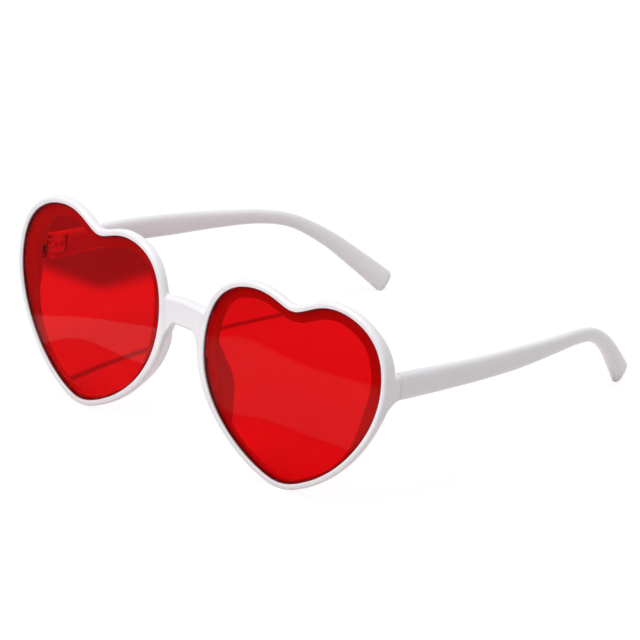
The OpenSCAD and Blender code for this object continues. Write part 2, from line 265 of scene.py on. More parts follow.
def rim_section(t):
    """Points as offset from the lens edge and depth behind the front."""
    p = heart_at(t)
    depth, shelf, lip = rim_depth(p), shelf_width(p), lip_width(t)
    shelf_y = SEAT_Y + LENS_PLAY
    along = min(max((t - PAD_TOP) / (PAD_FOOT - PAD_TOP), 0), 1)
    swell = math.sin(math.pi * along)
    slant = PAD_LEAN - PAD_TURN * eased(2 * along - 0.7)
    half = PAD_T / 2
    mid, tip = lip - half - slant, PAD_REACH - half
    front = [(SEAT_GAP, mixed(shelf_y, EDGE_CUT, k / 3)) for k in range(4)]
    front += arc(SEAT_GAP + EDGE_CUT, EDGE_CUT, EDGE_CUT, 210, 270, 2)
    front += arc(lip - FRONT_ROUND, FRONT_ROUND, FRONT_ROUND, -90, 0, 6)
    front += [(lip, mixed(FRONT_ROUND, depth * 0.5, k / 3)) for k in range(1, 4)]
    inner = arc(EDGE_CUT - shelf, depth - EDGE_CUT, EDGE_CUT, 90, 180, 3)
    inner += [(-shelf, mixed(depth - EDGE_CUT, shelf_y, k / 3)) for k in range(1, 4)]
    across = range(1, 7)
    back = arc(lip - BACK_ROUND, depth - BACK_ROUND, BACK_ROUND, 0, 90, 6)
    back += [(mixed(lip - BACK_ROUND, EDGE_CUT - shelf, k / 7), depth) for k in across]
    pad = arc(mid, tip, half, 0, 90, 6) + arc(mid, tip, half, 105, 180, 5)
    return front + [
        (mixed(a[0], b[0], swell), mixed(a[1], b[1], swell))
        for a, b in zip(back, pad)
    ] + inner


print("points in a section:", len(rim_section(0)), "lip at the nose:", lip_width(LIP_PEAK))

# %% Sweep the two rims
def rim(name, side):
    rings = []
    for t, p in zip(heart_places, heart_line):
        out = heart_out(t)
        spots = [(p + out * offset, depth) for offset, depth in rim_section(t)]
        rings.append([beside_nose(q.x, depth, q.y) for q, depth in spots])
    loops = [[Vector((side * ring[k].x, ring[k].y, ring[k].z)) for ring in rings]
             for k in range(len(rings[0]))]
    return extruded(name, loops, closed=True)


rims = [rim("rim_left", 1), rim("rim_right", -1)]

# %% [markdown]
# ## The bridge
# The bridge is a short arched bar with a broad fillet below, and it runs into the back of
# both rims. Half of it is described by a few rows, and a smooth line through the rows gives
# the sections between them, as a loft does in CAD.

# %% Loft the bridge
# Height, depth, the height of its middle, and how far it lies behind the front.
BRIDGE_H = 8
BRIDGE_D = 4
BRIDGE_RISE = 10.9
BRIDGE_SET = 0.4
# How far it rises in the arch, widens in the fillet, and thins inside the rims.
BRIDGE_ARCH = 0.75
BRIDGE_FILLET = 6
BRIDGE_THIN = 1.4
BRIDGE_ROUND, NOSE_ROUND = 1.2, 2.6
nose_y = -LENS_W / 2 * math.sin(WRAP)
bridge_end = BRIDGE_GAP / 2 + SHELF_TOP * 0.6
# Each row is a share of the half length, of the arch, of the fillet and of the set back.
BRIDGE_SHARES = [
    (0, 0, 0, 0), (0.18, 0.09, 0, 0), (0.28, 0.2, 0.005, 0), (0.34, 0.29, 0.04, 0),
    (0.4, 0.38, 0.14, 0.01), (0.46, 0.48, 0.31, 0.03), (0.51, 0.57, 0.5, 0.08),
    (0.55, 0.62, 0.72, 0.14), (0.6, 0.66, 0.95, 0.28), (0.66, 0.6, 1, 0.5),
    (0.76, 0.05, 1, 0.85), (1, -0.4, 1, 1),
]


def through(rows, steps):
    """A smooth line through all the rows, with a few more rows in each span."""
    line = []
    for i in range(len(rows) - 1):
        a, b, c, d = (rows[min(max(i + k, 0), len(rows) - 1)] for k in (-1, 0, 1, 2))
        for f in (k / steps for k in range(steps)):
            line.append([
                q + (f * (r - p) + f * f * (2 * p - 5 * q + 4 * r - s)
                     + f ** 3 * (3 * q - 3 * r + s - p)) / 2
                for p, q, r, s in zip(a, b, c, d)
            ])
    return line + [list(rows[-1])]


def bridge_loop(length, arch, fillet, back):
    front_y = nose_y + mixed(BRIDGE_SET, SEAT_Y + EDGE_CUT, eased(back * 1.2 - 0.2))
    back_y = nose_y + BRIDGE_SET + BRIDGE_D - BRIDGE_THIN * back
    low = BRIDGE_RISE - BRIDGE_H / 2 - BRIDGE_FILLET * fillet
    high = BRIDGE_RISE + BRIDGE_H / 2 - BRIDGE_ARCH * arch
    r = min(BRIDGE_ROUND, (back_y - front_y) / 2 - EDGE_CUT / 2)
    under = min(NOSE_ROUND, back_y - front_y - r - EDGE_CUT / 2)
    section = arc(back_y - r, high - r, r, 0, 90, 6) + arc(front_y + r, high - r, r, 90, 180, 6)
    section += arc(front_y + r, low + r, r, 180, 270, 6)
    section += arc(back_y - under, low + under, under, 270, 360, 9)
    return [Vector((length * bridge_end, y, z)) for y, z in section]


half_bridge = [bridge_loop(*row) for row in through(BRIDGE_SHARES, 5)]
other_half = [[Vector((-q.x, q.y, q.z)) for q in loop] for loop in reversed(half_bridge[1:])]
bridge = extruded("bridge", other_half + half_bridge, closed=False)

# %% [markdown]
# ## The endpieces
# An endpiece carries the side of the rim back to the temple. Its outer side starts with the
# curve of the heart and ends straight, where it meets the temple's flat side.

# %% Loft the endpieces
# The temple's height and thickness at its joint, and how far it lies inside the rim's side.
TEMPLE_H = 8
TEMPLE_T = 3.6
TEMPLE_INSIDE = 0.87
# How far the joint lies behind the front and above the lens centres.
JOINT_Y = 11.7
JOINT_RISE = 7.9
# Rounding of an endpiece, and how much wider it starts inwards, downwards and upwards.
END_ROUND = 1.2
END_IN, END_DOWN, END_UP = 1.5, 4.6, 2
END_STEPS = 36
joint_out = LENS_X + (LENS_W / 2 + RIM_LIP) * math.cos(WRAP) - TEMPLE_INSIDE
joint_in = joint_out - TEMPLE_T
end_deep = SEAT_Y + 0.3
end_start = LENS_W / 2 * math.sin(WRAP) + end_deep
side_line = []
for t in (k / SPAN_STEPS for k in range(-SPAN_STEPS, SPAN_STEPS * 3 // 2)):
    side_line.append(heart_at(t) + heart_out(t) * RIM_LIP)


def rim_side(z):
    """How far the rim reaches out at a height, between the two nearest points."""
    for a, b in zip(side_line, side_line[1:]):
        if a.y <= z < b.y:
            return mixed(a.x, b.x, (z - a.y) / (b.y - a.y))
    return side_line[-1].x


def end_x(s, z):
    """Outer side of an endpiece at a height. s goes from 0 in the rim to 1 at the joint."""
    y = mixed(end_start, JOINT_Y, s)
    wall = LENS_X + rim_side(z) * math.cos(WRAP) - (y - end_start + end_deep) * math.sin(WRAP)
    return mixed(wall + mixed(-0.15, 0.25, eased(3 * s)), joint_out, s ** 1.5)


def end_loop(s, side):
    fade, r = (1 - s) ** 2.2, END_ROUND
    inner = joint_in - END_IN * (1 - eased(1.6 * s)) + r
    low = JOINT_RISE - TEMPLE_H / 2 - END_DOWN * fade + r
    high = JOINT_RISE + TEMPLE_H / 2 + END_UP * fade - r
    heights = [mixed(low, high, k / 16) for k in range(17)]
    section = [(end_x(s, z), z) for z in heights]
    section += arc(end_x(s, high) - r, high, r, 10, 90, 8) + arc(inner, high, r, 90, 180, 8)
    section += arc(inner, low, r, 180, 270, 8) + arc(end_x(s, low) - r, low, r, 270, 350, 8)
    return [Vector((side * x, mixed(end_start, JOINT_Y, s), z)) for x, z in section]


ends = [
    extruded("endpiece", [end_loop(k / END_STEPS, side) for k in range(END_STEPS + 1)],
             closed=False)
    for side in (1, -1)
]

# %% [markdown]
# ## One moulding
# Rims, bridge and endpieces come out of the mould as one piece, with no seam and with a
# small fillet wherever two forms meet. A boolean union would leave a sharp line there. A
# voxel remesh melts the overlapping bars into one skin instead, and then only the skin near
# such a line is smoothed, so that the edges of the lip stay crisp. Everywhere else the skin
# is drawn back onto the bars, because voxels leave faint steps on a surface.

# %% Melt the bars together
VOXEL = 0.3 * MM
FILLET_REACH = 1.1 * MM
FILLET_ROUNDS = 24


def skin_tree(pieces):
    """A search tree that finds the nearest place on any of the pieces."""
    net = bmesh.new()
    for piece in pieces:
        net.from_mesh(piece.data)
    tree = BVHTree.FromBMesh(net)
    net.free()
    return tree


def applied(piece, kind, **settings):
    """Adds a modifier, sets it and applies it."""
    modifier = piece.modifiers.new(kind.lower(), kind)
    for name, value in settings.items():
        setattr(modifier, name, value)
    bpy.context.view_layer.objects.active = piece
    bpy.ops.object.modifier_apply(modifier=modifier.name)


rim_tree, arm_tree = skin_tree(rims), skin_tree([bridge] + ends)
deselected()
for bar in rims + ends + [bridge]:
    bar.select_set(True)
bpy.context.view_layer.objects.active = bridge
bpy.ops.object.join()
front = bpy.context.object
front.name = front.data.name = "front_moulding"
bpy.ops.object.duplicate()
bars = bpy.context.object
activated(front)
applied(front, "REMESH", mode="VOXEL", voxel_size=VOXEL, use_smooth_shade=True)
meeting = front.vertex_groups.new(name="meeting")
for v in front.data.vertices:
    apart = max(rim_tree.find_nearest(v.co)[3], arm_tree.find_nearest(v.co)[3])
    if apart < FILLET_REACH:
        meeting.add([v.index], eased(1 - apart / FILLET_REACH), "REPLACE")
applied(front, "SHRINKWRAP", target=bars, wrap_method="NEAREST_SURFACEPOINT",
        vertex_group="meeting", invert_vertex_group=True)
applied(front, "SMOOTH", vertex_group="meeting", factor=0.5, iterations=FILLET_ROUNDS)
bpy.data.objects.remove(bars)
print("the moulding has", len(front.data.polygons), "faces")

# %% [markdown]
# ## Cut the room for the hinges
# The inner face of each endpiece and each temple has a shallow pocket for its hinge leaf, a
# round well for the knuckles, and two holes for the fixing screws. In the real parts a steel
# core leaves this room in the mould. Here a cutter of the same form is taken away with a
# boolean, because a pocket needs sharp edges.

# %% Cutters for the hinge pockets
# The hinge: how deep its leaves are let in, its knuckles, its height and its play.
LEAF_SINK = 1.4
KNUCKLE_R = 1.5
HINGE_H = 5.2
TURN_GAP = 0.12
FRONT_LEAF_L = 5.2
TEMPLE_LEAF_L = 8
# The cutters: how far they reach out of the inner face, and the holes of the fixing screws.
# Each hole is given as shares of the leaf's length and of the hinge's height.
ROOM_IN = 3.2
FIX_R, FIX_DEEP = 0.45, 2.4
FRONT_FIX_SHARES = [(0.66, -0.24), (0.66, 0.24)]
TEMPLE_FIX_SHARES = [(0.48, 0), (0.81, 0)]
JOINT_GAP = 0.2
axis_x = joint_in + LEAF_SINK - KNUCKLE_R
axis_y = JOINT_Y + JOINT_GAP / 2


def at_hinge(x, y, z, side):
    """A point given from the middle of a hinge, in metres."""
    return placed((side * (axis_x + x), axis_y + y, JOINT_RISE + z))


def hinge_cutter(leaf_l, way, fix_shares, side):
    """The room that one leaf needs: way is -1 for the front's leaf and 1 for the temple's."""
    deselected()
    well_h = HINGE_H + TEMPLE_H
    bpy.ops.mesh.primitive_cylinder_add(
        vertices=64, radius=(KNUCKLE_R + TURN_GAP) * MM, depth=well_h * MM,
        location=at_hinge(0, 0, (well_h - HINGE_H) / 2 - TURN_GAP, side))
    cutters = [bpy.context.object]
    start, end = sorted((-way, way * (leaf_l + TURN_GAP)))
    bpy.ops.mesh.primitive_cube_add(
        size=1, location=at_hinge((KNUCKLE_R - ROOM_IN) / 2, (start + end) / 2, 0, side),
        scale=Vector((KNUCKLE_R + ROOM_IN, end - start, HINGE_H + 2 * TURN_GAP)) * MM)
    cutters.append(bpy.context.object)
    for along, up in fix_shares:
        bpy.ops.mesh.primitive_cylinder_add(
            vertices=32, radius=FIX_R * MM, depth=FIX_DEEP * MM, rotation=(0, math.pi / 2, 0),
            location=at_hinge(KNUCKLE_R + 0.2, way * leaf_l * along, HINGE_H * up, side))
        cutters.append(bpy.context.object)
    return cutters


def cut(piece, cutters):
    for cutter in cutters:
        applied(piece, "BOOLEAN", object=cutter, operation="DIFFERENCE", solver="EXACT")
        bpy.data.objects.remove(cutter)


for side in (1, -1):
    cut(front, hinge_cutter(FRONT_LEAF_L, -1, FRONT_FIX_SHARES, side))
print("the moulding with its pockets has", len(front.data.polygons), "faces")

# %% [markdown]
# ## The temples
# A temple is one bar. It is tall and stiff at the hinge, thins out behind the ear, bends in
# and down there, and ends in a paddle. Ten rows describe it, and a smooth line runs through
# them, as for the bridge. Its section is a rounded rectangle where it meets the endpiece and
# close to an oval further back, which gives it a soft shading with no line along its edges.

# %% Loft the temples
# How far the ear tip lies behind the joint, inside it and below it.
TEMPLE_REACH = 141.8
TIP_INSET = 20
TIP_DROP = 34.3
# The section: its rounding at the joint, how full the oval is, how much of the oval is there
# at the joint, and from which share of the reach on it is there in full.
TEMPLE_ROUND_SHARE = 0.4
OVAL_SHARE = 0.8
JOINT_BULGE = 0.25
OVAL_FROM = 0.25
# The ends: how far the tip's end goes past the last row, and the two roundings.
TIP_REACH = 1.4
TIP_ROUND = 1.8
TIP_THIN_SHARE = 0.7
END_EASE = 0.6
# Each row gives shares of the reach, the inset, the drop, the height and the thickness.
TEMPLE_SHARES = [
    (0, 0, 0, 1, 1), (0.133, -0.012, 0.045, 0.975, 0.97), (0.261, -0.04, 0.079, 0.91, 0.92),
    (0.408, 0.02, 0.129, 0.84, 0.88), (0.556, 0.14, 0.178, 0.66, 0.85),
    (0.665, 0.27, 0.224, 0.56, 0.84), (0.753, 0.415, 0.315, 0.535, 0.85),
    (0.842, 0.605, 0.51, 0.63, 0.9), (0.921, 0.795, 0.746, 0.765, 0.96), (1, 1, 1, 0.91, 1),
]


def temple_loop(mid, way, height, thick, bulge, side):
    """A section square on the temple's line: flat sided for bulge 0, oval for bulge 1."""
    across = (Vector((1, 0, 0)) - way * way.x).normalized()
    up = across.cross(way)
    a, b = thick / 2, height / 2
    r = min(TEMPLE_ROUND_SHARE * thick, b * 0.9)
    section = arc(a - r, b - r, r, 0, 90, 8) + arc(r - a, b - r, r, 90, 180, 8)
    section += arc(r - a, r - b, r, 180, 270, 8) + arc(a - r, r - b, r, 270, 360, 8)
    oval = []
    for corner, k in ((corner, k) for corner in range(4) for k in range(9)):
        turn = math.radians(90 * corner + 3 + 84 * k / 8)
        x, y = math.cos(turn), math.sin(turn)
        oval.append((math.copysign(a * abs(x) ** OVAL_SHARE, x),
                     math.copysign(b * abs(y) ** OVAL_SHARE, y)))
    spots = [mid + across * mixed(p[0], q[0], bulge) + up * mixed(p[1], q[1], bulge)
             for p, q in zip(section, oval)]
    return [Vector((side * q.x, q.y, q.z)) for q in spots]


def temple(name, side):
    rows = through(TEMPLE_SHARES, 10)
    line = [Vector((
        joint_out - TEMPLE_T / 2 - TIP_INSET * row[1],
        JOINT_Y + JOINT_GAP + (TEMPLE_REACH - TIP_REACH) * row[0],
        JOINT_RISE - TIP_DROP * row[2],
    )) for row in rows]
    ways = [(b - a).normalized() for a, b in zip(line[:1] + line, line[1:] + line[-1:])]
    ways[0] = Vector((0, 1, 0))
    sizes = [(TEMPLE_H * row[3], TEMPLE_T * row[4]) for row in rows]
    loops = []
    for bend in (0, 30, 60, 90):
        inset = END_EASE * (1 - math.sin(math.radians(bend)))
        start = line[0] + ways[0] * END_EASE * (1 - math.cos(math.radians(bend)))
        loops.append(temple_loop(start, ways[0], sizes[0][0] - 2 * inset,
                                 sizes[0][1] - 2 * inset, JOINT_BULGE, side))
    for row, p, w, size in list(zip(rows, line, ways, sizes))[1:]:
        bulge = mixed(JOINT_BULGE, 1, eased(row[0] / OVAL_FROM))
        loops.append(temple_loop(p, w, *size, bulge, side))
    for bend in range(15, 91, 15):
        angle = math.radians(bend)
        inset = 2 * TIP_ROUND * (1 - math.cos(angle))
        end = line[-1] + ways[-1] * (TIP_REACH - TIP_ROUND * (1 - math.sin(angle)))
        loops.append(temple_loop(end, ways[-1], sizes[-1][0] - inset,
                                 sizes[-1][1] - inset * TIP_THIN_SHARE, 1, side))
    bar = extruded(name, loops, closed=False)
    cut(bar, hinge_cutter(TEMPLE_LEAF_L, 1, TEMPLE_FIX_SHARES, side))
    return bar


temples = {
    "left": temple("temple_bar_left", 1),
    "right": temple("temple_bar_right", -1),
}

# %% [markdown]
# ## The lenses
# A lens is cut from a flat sheet of clear dyed plastic and dropped into the rim from the
# front, with a tenth of a millimetre of play between its back and the shelf. Its edges are
# ground, so they have a small matt bevel all round, which shows as a dark red outline. That
# dark red is partly the edge's own deep dye and partly painted shade of the gap round the
# lens. Faces that lean away from the lens's own direction get the second material slot for it.

# %% Cut the lenses
GROUND = 0.42
FLAT_ENOUGH = 0.85


def lens(name, side):
    deselected()
    bpy.ops.mesh.primitive_circle_add(
        vertices=len(heart_line), radius=LENS_W / 2 * MM, fill_type="NGON")
    pane = bpy.context.object
    pane.name = pane.data.name = name
    for v, t in zip(pane.data.vertices, heart_places):
        p = heart_at(t) - heart_out(t) * EDGE_PLAY
        q = beside_nose(p.x, SEAT_Y, p.y)
        v.co = placed((side * q.x, q.y, q.z))
    bpy.ops.object.mode_set(mode="EDIT")
    bpy.ops.mesh.select_all(action="SELECT")
    forward = Vector((side * math.sin(WRAP), -math.cos(WRAP), 0)) * LENS_T * MM
    bpy.ops.mesh.extrude_region_move(TRANSFORM_OT_translate={"value": forward})
    bpy.ops.mesh.select_all(action="SELECT")
    bpy.ops.mesh.normals_make_consistent(inside=False)
    bpy.ops.object.mode_set(mode="OBJECT")
    applied(pane, "BEVEL", width=GROUND * MM, segments=3, angle_limit=math.radians(60))
    activated(pane)
    for face in pane.data.polygons:
        face.material_index = int(abs(face.normal.dot(forward.normalized())) < FLAT_ENOUGH)
    bpy.ops.object.shade_smooth_by_angle(angle=math.radians(12))
    print(name, "has", len(pane.data.polygons), "faces")
    return pane


lenses = {"left": lens("lens_pane_left", 1), "right": lens("lens_pane_right", -1)}

# %% [markdown]
# ## The hinges
# The leaves are stamped from sheet steel and rolled round the screw, and the screws are
# turned. Their CAD solids have the right form, but every edge of them is perfectly sharp,
# and no real edge is. A copy of each solid is merged, its flat faces are joined again, and a
# fine bevel goes round every edge, so that the metal glints.

# %% Bevelled copies of the metal parts
def bevelled_copy(node, width):
    metal = bpy.data.objects.new(node + "_metal", frame["nodes"][node].data.copy())
    bpy.context.scene.collection.objects.link(metal)
    metal.data.name = metal.name
    metal.data.materials.clear()
    activated(metal)
    bpy.ops.object.mode_set(mode="EDIT")
    bpy.ops.mesh.select_all(action="SELECT")
    bpy.ops.mesh.remove_doubles(threshold=0.002 * MM)
    bpy.ops.mesh.dissolve_limited(angle_limit=math.radians(2))
    bpy.ops.object.mode_set(mode="OBJECT")
    applied(metal, "BEVEL", width=width * MM, segments=2, angle_limit=math.radians(40))
    bpy.ops.object.shade_smooth_by_angle(angle=math.radians(35))
    return metal


LEAF_EDGE, SCREW_EDGE = 0.07, 0.03
leaf_nodes = [n for n in frame["nodes"] if "_leaf_" in n and "screws" not in n]
screw_nodes = [n for n in frame["nodes"] if "screw" in n]
leaves = {n: bevelled_copy(n, LEAF_EDGE) for n in leaf_nodes}
screws = {n: bevelled_copy(n, SCREW_EDGE) for n in screw_nodes}
print(len(leaves), "leaves and", len(screws), "sets of screws")

# %% [markdown]
# ## Effects that the finishes share
# Plastic and plated steel both have a fine grain, and the lenses and the metal carry a faint
# film from fingers and cloths. Each effect is one node group with named inputs, so that every
# finish can use it at its own scale. The groups read Object coordinates, which stay with a
# piece when it folds.

# %% A helper for node groups
def node_group(name, inputs, outputs):
    """An empty shader group. Inputs give name and default, outputs give name and kind."""
    group = bpy.data.node_groups.new(name, "ShaderNodeTree")
    for title, default in inputs.items():
        socket = group.interface.new_socket(title, in_out="INPUT", socket_type="NodeSocketFloat")
        socket.default_value = default
    for title, kind in outputs.items():
        group.interface.new_socket(title, in_out="OUTPUT", socket_type=kind)
    return group, group.nodes.new("NodeGroupInput"), group.nodes.new("NodeGroupOutput")


def added(tree, kind, links=None, **settings):
    """Adds a node, sets it, and links what feeds its inputs."""
    node = tree.nodes.new(kind)
    for name, value in settings.items():
        setattr(node, name, value)
    for place, source in (links or {}).items():
        if hasattr(source, "is_output"):
            tree.links.new(source, node.inputs[place])
        else:
            node.inputs[place].default_value = source
    return node


# %% Fine grain
def fine_grain():
    """Height of a fine grain, and a slow variation of it over the surface."""
    group, given, out = node_group(
        "fine_grain", {"Grains per metre": 3000.0, "Stretch": 1.0},
        {"Height": "NodeSocketFloat", "Variation": "NodeSocketFloat"})
    spot = added(group, "ShaderNodeTexCoord").outputs["Object"]
    parts = added(group, "ShaderNodeSeparateXYZ", {0: spot})
    along = added(group, "ShaderNodeMath", {0: parts.outputs["Y"], 1: given.outputs["Stretch"]},
                  operation="DIVIDE")
    drawn = added(group, "ShaderNodeCombineXYZ",
                  {0: parts.outputs["X"], 1: along.outputs[0], 2: parts.outputs["Z"]})
    fine = added(group, "ShaderNodeTexNoise", {
        "Vector": drawn.outputs[0], "Scale": given.outputs["Grains per metre"],
        "Detail": 3.0, "Roughness": 0.6})
    slow = added(group, "ShaderNodeTexNoise", {"Vector": spot, "Scale": 60.0, "Detail": 2.0})
    group.links.new(fine.outputs[0], out.inputs["Height"])
    group.links.new(slow.outputs[0], out.inputs["Variation"])
    return group


# %% Film of fingers and cloths
def handling_film():
    """Mask of smudges that a finger leaves, and of thin lines that a cloth leaves."""
    group, given, out = node_group(
        "handling_film", {"Smudges per metre": 55.0, "Amount": 0.5},
        {"Mask": "NodeSocketFloat"})
    spot = added(group, "ShaderNodeTexCoord").outputs["Object"]
    smudge = added(group, "ShaderNodeTexNoise", {
        "Vector": spot, "Scale": given.outputs["Smudges per metre"],
        "Detail": 5.0, "Distortion": 0.6})
    patch = added(group, "ShaderNodeMapRange", {
        "Value": smudge.outputs[0], "From Min": 0.4, "From Max": 0.8}, clamp=True)
    line = added(group, "ShaderNodeTexNoise", {"Vector": spot, "Scale": 900.0, "Detail": 1.0})
    rubbed = added(group, "ShaderNodeMath", {0: patch.outputs[0], 1: line.outputs[0]},
                   operation="MULTIPLY")
    held = added(group, "ShaderNodeMath", {0: rubbed.outputs[0], 1: given.outputs["Amount"]},
                 operation="MULTIPLY")
    group.links.new(held.outputs[0], out.inputs["Mask"])
    return group


grain_group, film_group = fine_grain(), handling_film()
print("effects:", grain_group.name, film_group.name)

# %% [markdown]
# ## White plastic
# The frame is injection moulded and tumbled smooth. Its gloss is not that of glass: the skin
# has a soft orange peel, and its whiteness and its gloss vary a little over the surface. The
# white of the photo is even and clean, so the film is left off here, because it only showed
# as scratches. What is even stays on the shader itself.

# %% A finish with grain and film
BUMP_DEEP = 0.05 * MM


def plain_finish(name, colours, roughness, grains, stretch, bump, film, **even):
    """The slow variation mixes the two colours, and roughness goes from clean to rubbed.

    Without a film, the roughness follows the slow variation too.
    """
    finish = bpy.data.materials.new(name)
    finish.use_nodes = True
    tree = finish.node_tree
    shader = tree.nodes["Principled BSDF"]
    for socket, value in even.items():
        shader.inputs[socket.replace("_", " ")].default_value = value
    grain = added(tree, "ShaderNodeGroup", node_tree=grain_group)
    grain.inputs["Grains per metre"].default_value = grains
    grain.inputs["Stretch"].default_value = stretch
    rubbed = grain.outputs["Variation"]
    if film:
        touched = added(tree, "ShaderNodeGroup", node_tree=film_group)
        touched.inputs["Amount"].default_value = film
        rubbed = touched.outputs["Mask"]
    tint = added(tree, "ShaderNodeMix", {
        0: grain.outputs["Variation"], 6: (*colours[0], 1), 7: (*colours[1], 1)},
        data_type="RGBA")
    dull = added(tree, "ShaderNodeMapRange", {
        "Value": rubbed, "To Min": roughness[0], "To Max": roughness[1]})
    relief = added(tree, "ShaderNodeBump", {
        "Height": grain.outputs["Height"], "Strength": bump, "Distance": BUMP_DEEP})
    tree.links.new(tint.outputs[2], shader.inputs["Base Color"])
    tree.links.new(dull.outputs[0], shader.inputs["Roughness"])
    tree.links.new(relief.outputs[0], shader.inputs["Normal"])
    return finish


white_plastic = plain_finish(
    "white_plastic", [(0.77, 0.765, 0.79), (0.8, 0.795, 0.82)], (0.24, 0.34),
    grains=900, stretch=1, bump=0.02, film=0, IOR=1.49)

# %% [markdown]
# ## Metal
# The leaves are nickel plated sheet, drawn through rollers, so their grain runs along them.
# The screws are a little darker and smoother. Both are full metals.

# %% Plated sheet and turned steel
plated_sheet = plain_finish(
    "plated_sheet", [(0.68, 0.67, 0.64), (0.76, 0.75, 0.72)], (0.24, 0.45),
    grains=9000, stretch=12, bump=0.35, film=0.6, Metallic=1)
turned_steel = plain_finish(
    "turned_steel", [(0.55, 0.55, 0.56), (0.64, 0.64, 0.65)], (0.2, 0.4),
    grains=7000, stretch=1, bump=0.25, film=0.4, Metallic=1)

# %% [markdown]
# ## Red lens
# The lens is clear plastic with a red dye all through it, polished on both faces and coated
# against reflections. A transmitting shader with that colour does this in one go. Shadow
# rays can't pass a transmitting shader, so for them, and for light that a matt surface has
# sent on, the lens is plain tinted clear. Its red light falls on the rim's shelf, the nose
# pads and the table, as in life. The ground edge is matt and lets almost no light through.
# Its dark maroon is partly its own deep dye and partly painted shade of the gap round the lens.

# %% A lens that lets its red light through
LENS_RED = (0.71, 0.0015, 0.0035)


def lens_finish():
    finish = plain_finish(
        "red_lens", [LENS_RED, tuple(c * 0.97 for c in LENS_RED)], (0.0, 0.04),
        grains=200, stretch=1, bump=0.002, film=0.2,
        IOR=1.1, Transmission_Weight=1)
    tree = finish.node_tree
    shader = tree.nodes["Principled BSDF"]
    through_face = tuple(math.sqrt(c) for c in LENS_RED)
    clear = added(tree, "ShaderNodeBsdfTransparent", {"Color": (*through_face, 1)})
    ray = added(tree, "ShaderNodeLightPath")
    bounced = added(tree, "ShaderNodeMath", {0: ray.outputs["Diffuse Depth"], 1: 0.5},
                    operation="GREATER_THAN")
    carries_light = added(tree, "ShaderNodeMath", {
        0: ray.outputs["Is Shadow Ray"], 1: bounced.outputs[0]}, operation="MAXIMUM")
    both = added(tree, "ShaderNodeMixShader", {
        0: carries_light.outputs[0], 1: shader.outputs[0], 2: clear.outputs[0]})
    tree.links.new(both.outputs[0], tree.nodes["Material Output"].inputs["Surface"])
    return finish


red_lens = lens_finish()
# The ground edge: dark maroon, partly its own deep dye, partly painted shade of the gap round the
# lens.
ground_edge_and_gap_shade = plain_finish(
    "ground_edge_and_gap_shade", [(0.15, 0.003, 0.012), (0.19, 0.004, 0.015)], (0.6, 0.8),
    grains=6000, stretch=1, bump=0.3, film=0.3, IOR=1.2)
print("finishes:", ", ".join(m.name for m in bpy.data.materials if m.users))

# %% [markdown]
# ## Dress the pieces
# Each new piece gets its finish, rides on the body that its CAD node rides on, and stands for
# that node.

# %% Finish, body, node and slot of each piece
def dressed(piece, finish, body, node):
    piece.data.materials.append(finish)
    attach(piece, body)
    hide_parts(node)


def body_of_node(node):
    for body, members in frame["record"]["behaviour"]["bodies"].items():
        if node in members:
            return body


activated(front)
bpy.ops.object.shade_smooth_by_angle(angle=math.radians(55))
dressed(front, white_plastic, "front", "front_frame")
for side_name, bar in temples.items():
    activated(bar)
    bpy.ops.object.shade_smooth_by_angle(angle=math.radians(40))
    dressed(bar, white_plastic, side_name + "_temple", "temple_" + side_name)
for side_name, pane in lenses.items():
    dressed(pane, red_lens, "front", "lens_" + side_name)
    pane.data.materials.append(ground_edge_and_gap_shade)
for node, metal in leaves.items():
    dressed(metal, plated_sheet, body_of_node(node), node)
for node, metal in screws.items():
    dressed(metal, turned_steel, body_of_node(node), node)

# %% [markdown]
# ## The studio
# The pair stands on a white table in soft, even light. One large lamp stands in front on the
# left, so that the lips are bright and the outer sides of the temples are a quiet grey, and a
# second one hangs overhead. The floor shows white to the camera, and only part of its white
# is lit, so the shadow is faint but there. Far from the pair the floor fades out. Two more
# things are painted on the table and show through the lenses: painted shade over a corner
# behind the pair, and a thin, bowed line of painted shade on it. Only rays that come through
# a lens meet these two.

# %% The table top
FLOOR_R = 1.6
deselected()
bpy.ops.mesh.primitive_circle_add(vertices=96, radius=FLOOR_R, fill_type="NGON")
floor = bpy.context.object
floor.name = "floor"
print("floor radius:", FLOOR_R, "m")


# %% Helpers that ask what a ray is, and do sums on values
def before_matt(tree):
    """1 for a ray that shows something, 0 once it has met a matt surface and carries light."""
    ray = added(tree, "ShaderNodeLightPath")
    return added(tree, "ShaderNodeMath", {0: ray.outputs["Diffuse Depth"], 1: 0.5},
                 operation="LESS_THAN").outputs[0]


def seen_by(tree, *kinds):
    """1 for rays of these kinds that show something, such as Camera or Glossy."""
    ray = added(tree, "ShaderNodeLightPath")
    seen = ray.outputs["Is " + kinds[0] + " Ray"]
    for kind in kinds[1:]:
        seen = added(tree, "ShaderNodeMath", {
            0: seen, 1: ray.outputs["Is " + kind + " Ray"]}, operation="MAXIMUM").outputs[0]
    return added(tree, "ShaderNodeMath", {0: seen, 1: before_matt(tree)},
                 operation="MULTIPLY").outputs[0]


def worked(tree, operation, a, b):
    return added(tree, "ShaderNodeMath", {0: a, 1: b}, operation=operation).outputs[0]


def ramp(tree, value, start, end):
    """A soft step from 0 at the start to 1 at the end."""
    return added(tree, "ShaderNodeMapRange", {
        "Value": value, "From Min": start, "From Max": end},
        clamp=True, interpolation_type="SMOOTHSTEP").outputs[0]


# %% The table's finish
# Light that the camera sees: the share of it that is even white, and how white that is.
FLOOR_WHITE_SHARE = 0.85
SHOWN_WHITE = 1.04
# The table's white, the tone of its painted shade, and the colour with which it lights the pair.
TABLE_WHITE = 0.97
TABLE_SHADE = 0.38
TABLE_BOUNCE = (0.75, 0.69, 0.695)
# Painted shade covers the corner left of x and behind y, in metres.
SHADE_CORNER_AT, SHADE_CORNER_SOFT = (-0.098, 0), 0.006
